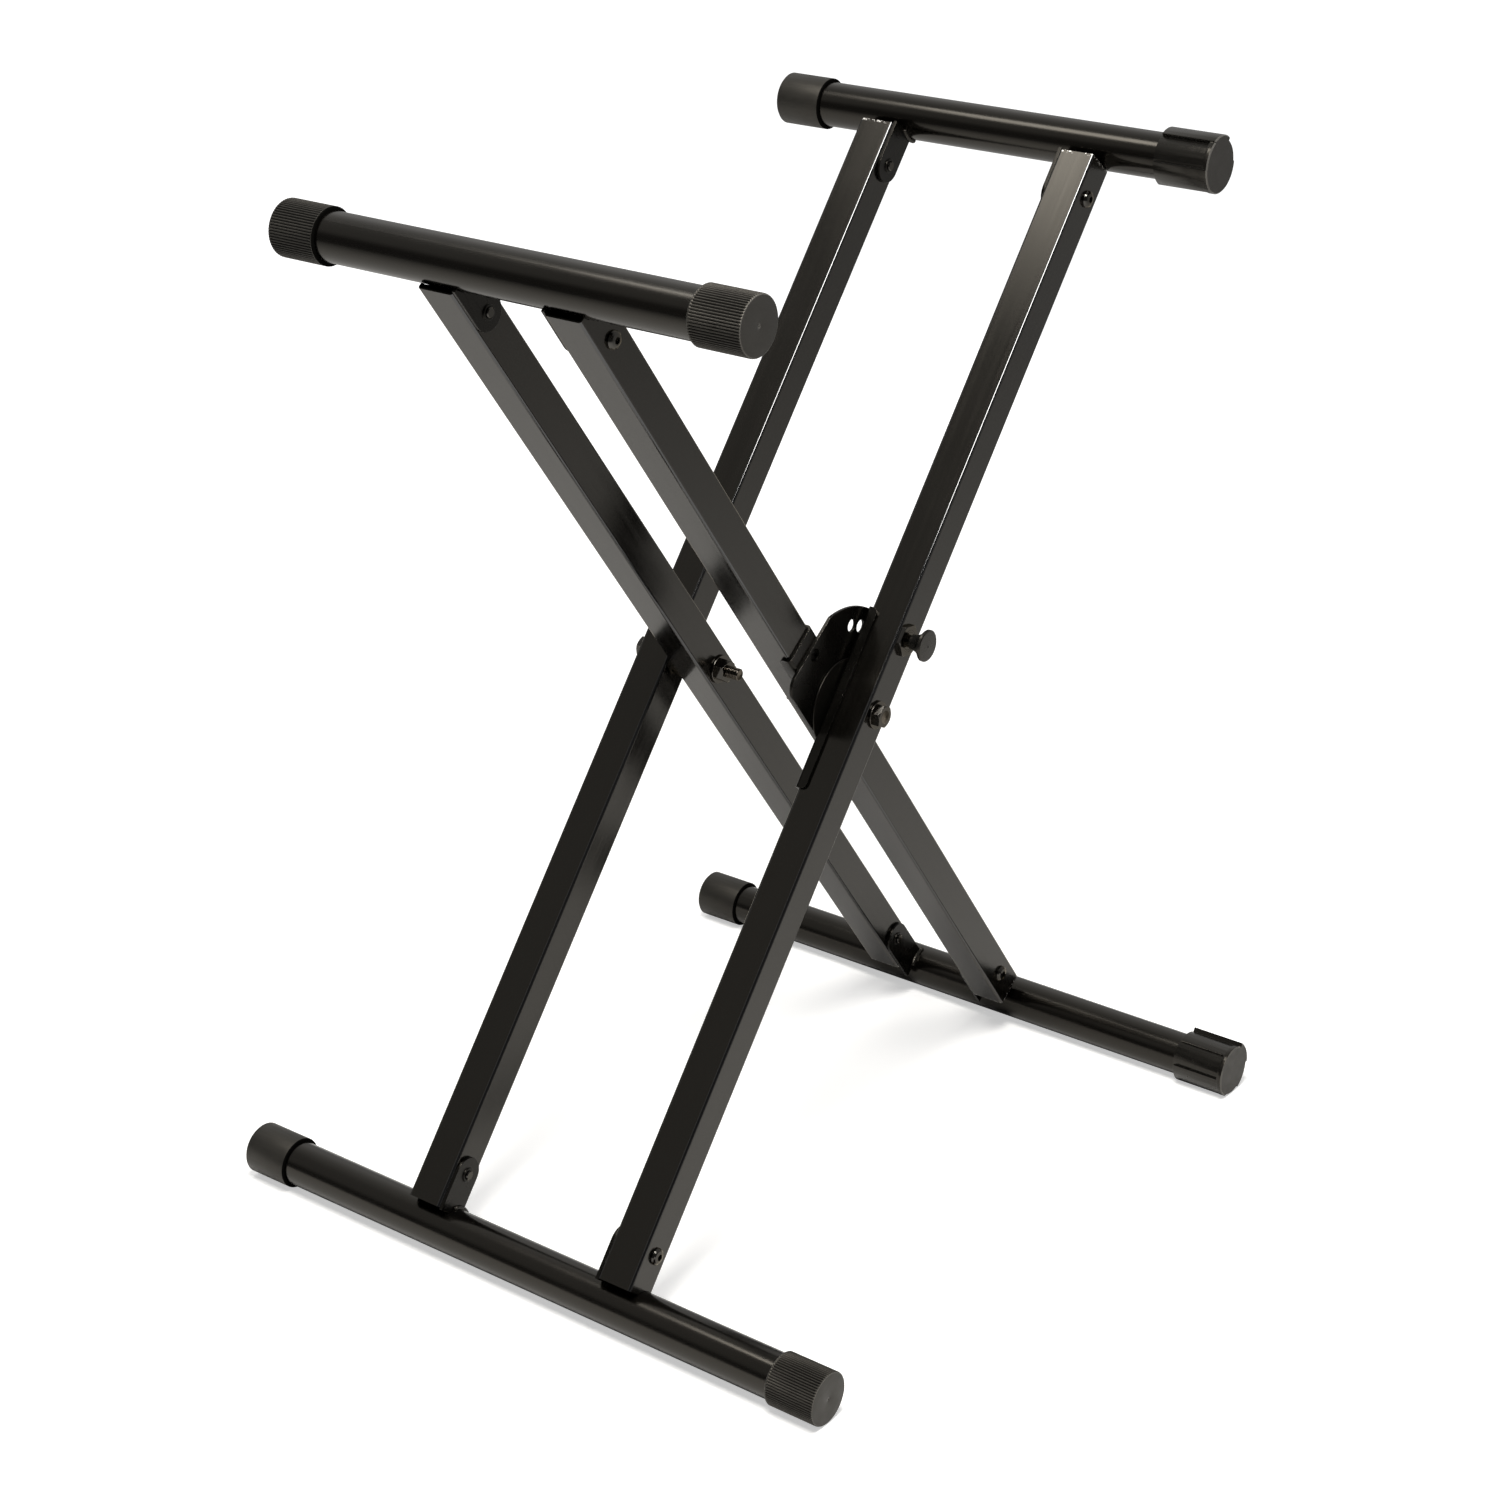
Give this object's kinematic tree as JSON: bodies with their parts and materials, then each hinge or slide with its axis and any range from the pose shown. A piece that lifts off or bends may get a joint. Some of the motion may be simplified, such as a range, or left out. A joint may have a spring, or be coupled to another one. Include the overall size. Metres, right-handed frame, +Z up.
{
  "type": "folding keyboard stand",
  "caption": "Folding X-frame stand for a keyboard: square-tube frames crossed on a pivot, round crossbars with rubber end caps, a spring pin lock with a pull knob, and stepped levelling caps.",
  "frame": {"origin": "on the floor, under the centre of the box around the whole stand", "axes": "+X along the crossbars towards the lock side, +Y to the rear (away from the player), +Z up"},
  "size_m": [0.588, 0.6898, 0.8544],
  "materials": {
    "tube_paint": "semi-gloss black powder coat",
    "lock_paint": "satin black powder coat on pressed steel",
    "cap_rubber": "matte moulded black rubber",
    "black_fastener": "black oxide",
    "weld_paint": "painted weld bead",
    "spring_steel": "drawn spring wire",
    "wear_ring": "moulded nylon",
    "knob_plastic": "satin black moulding"
  },
  "bodies": {
    "outer_frame": {"rear_top_bar": "tube_paint", "front_bottom_bar": "tube_paint", "outer_arm_left": "tube_paint", "outer_arm_right": "tube_paint", "rear_top_ears": "lock_paint", "front_bottom_ears": "lock_paint", "rear_top_welds": "weld_paint", "front_bottom_welds": "weld_paint", "outer_ear_bolts": "black_fastener", "rear_top_cap_left": "cap_rubber", "front_bottom_cap_left": "cap_rubber", "front_bottom_cap_right": "cap_rubber", "outer_saddle": "lock_paint", "friction_disc": "wear_ring", "pivot_bolt_right": "black_fastener", "pivot_bolt_left": "black_fastener", "pivot_head_washers": "black_fastener", "pivot_inner_washers": "black_fastener", "pivot_nuts": "black_fastener", "left_spacers": "black_fastener", "plunger_barrel": "black_fastener", "plunger_nut": "black_fastener", "barrel_gland": "black_fastener", "lock_spring": "spring_steel"},
    "inner_frame": {"front_top_bar": "tube_paint", "rear_bottom_bar": "tube_paint", "inner_arm_left": "tube_paint", "inner_arm_right": "tube_paint", "front_top_ears": "lock_paint", "rear_bottom_ears": "lock_paint", "front_top_welds": "weld_paint", "rear_bottom_welds": "weld_paint", "inner_ear_bolts": "black_fastener", "front_top_cap_left": "cap_rubber", "front_top_cap_right": "cap_rubber", "rear_bottom_cap_left": "cap_rubber", "inner_saddle": "lock_paint", "lock_plate": "lock_paint"},
    "plunger": {"lock_pin": "black_fastener", "lock_knob": "knob_plastic"},
    "rear_top_leveller": {"rear_top_levelling_cap": "cap_rubber"},
    "rear_bottom_leveller": {"rear_bottom_levelling_cap": "cap_rubber"}
  },
  "joints": [
    {"name": "fold", "type": "hinge", "parent": "outer_frame", "child": "inner_frame", "pos_m": [0, -0.01554, 0.43018], "axis": [1, 0, 0], "range_deg": [-70.52, 23.5]},
    {"name": "lock_pull", "type": "slide", "parent": "outer_frame", "child": "plunger", "axis": [1, 0, 0], "range_m": [-0.0026, 0.006], "stiffness_N_per_m": 600, "springref_m": -0.006, "deforming": ["lock_spring"]},
    {"name": "rear_top_level", "type": "hinge", "parent": "outer_frame", "child": "rear_top_leveller", "pos_m": [0.19, 0.30633, 0.83004], "axis": [1, 0, 0], "continuous": true},
    {"name": "rear_bottom_level", "type": "hinge", "parent": "inner_frame", "child": "rear_bottom_leveller", "pos_m": [0.27, 0.31808, 0.0219], "axis": [1, 0, 0], "continuous": true}
  ]
}
